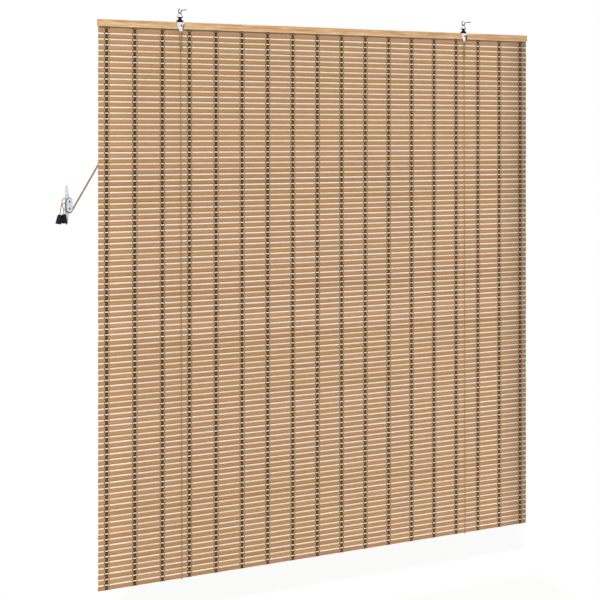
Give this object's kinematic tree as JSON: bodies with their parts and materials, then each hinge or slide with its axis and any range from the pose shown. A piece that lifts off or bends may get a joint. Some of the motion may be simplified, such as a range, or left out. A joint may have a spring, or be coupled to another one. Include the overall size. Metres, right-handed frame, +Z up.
{
  "type": "bamboo roll up blind",
  "caption": "Woven bamboo slat blind on a wooden head rail, hung by wire rings on wall hooks, with lift cords over pulleys and pull cords tied to a wall cleat.",
  "frame": {"origin": "midpoint between the two hook screws, at the wall", "axes": "+X along the rail, +Y from the wall into the room, +Z up"},
  "size_m": [1.7348, 0.0593, 1.6495],
  "materials": {
    "hook_steel": "zinc plated wire",
    "ring_steel": "bright wire",
    "plate_steel": "bright nickel",
    "screw_steel": "zinc plated",
    "cleat_metal": "cast, satin",
    "rail_wood": "pale lacquered bamboo",
    "bamboo": "brown bamboo slats with pale reeds",
    "warp_thread": "dark brown yarn",
    "cord": "tan braided cord",
    "black_plastic": "black",
    "wheel_plastic": "ivory"
  },
  "bodies": {
    "wall_fixings": {"wall_hook_left": "hook_steel", "wall_hook_right": "hook_steel", "cleat": "cleat_metal", "cleat_winding": "cord", "pull_cord_inner": "cord", "pull_cord_outer": "cord", "cord_tail_left": "cord", "cord_tail_right": "cord", "cord_pull_left": "black_plastic", "cord_pull_right": "black_plastic"},
    "blind": {"back_batten": "rail_wood", "front_batten": "rail_wood", "rail_screws": "screw_steel", "slat_mat": "bamboo", "warp_wall_side": "warp_thread", "warp_room_side": "warp_thread", "hanger_ring_left": "ring_steel", "hanger_ring_right": "ring_steel", "hanger_saddle_left": "black_plastic", "hanger_saddle_right": "black_plastic", "face_plate_left": "plate_steel", "face_plate_right": "plate_steel", "pulley_block_left": "screw_steel", "pulley_block_right": "screw_steel", "pulley_axle_left": "screw_steel", "pulley_axle_right": "screw_steel", "lift_cord_left": "cord", "lift_cord_right": "cord", "cross_cord": "cord"},
    "left_inner_wheel": {"pulley_wheel_left_inner": "wheel_plastic"},
    "left_outer_wheel": {"pulley_wheel_left_outer": "wheel_plastic"},
    "right_wheel": {"pulley_wheel_right": "wheel_plastic"}
  },
  "joints": [
    {"name": "blind_swing", "type": "hinge", "parent": "wall_fixings", "child": "blind", "pos_m": [0, 0.013, -0.00615], "axis": [1, 0, 0], "range_deg": [0, 35], "deforming": ["pull_cord_inner", "pull_cord_outer"]},
    {"name": "right_wheel_spin", "type": "hinge", "parent": "blind", "child": "right_wheel", "pos_m": [0.532, 0.0233, -0.044], "axis": [0, 1, 0], "continuous": true},
    {"name": "left_outer_spin", "type": "hinge", "parent": "blind", "child": "left_outer_wheel", "pos_m": [-0.532, 0.0289, -0.044], "axis": [0, 1, 0], "continuous": true},
    {"name": "left_inner_spin", "type": "hinge", "parent": "blind", "child": "left_inner_wheel", "pos_m": [-0.532, 0.0233, -0.044], "axis": [0, 1, 0], "continuous": true}
  ],
  "couplings": [
    {"joint": "left_outer_spin", "follows": "right_wheel_spin", "ratio": 1},
    {"joint": "left_inner_spin", "follows": "right_wheel_spin", "ratio": 1}
  ]
}
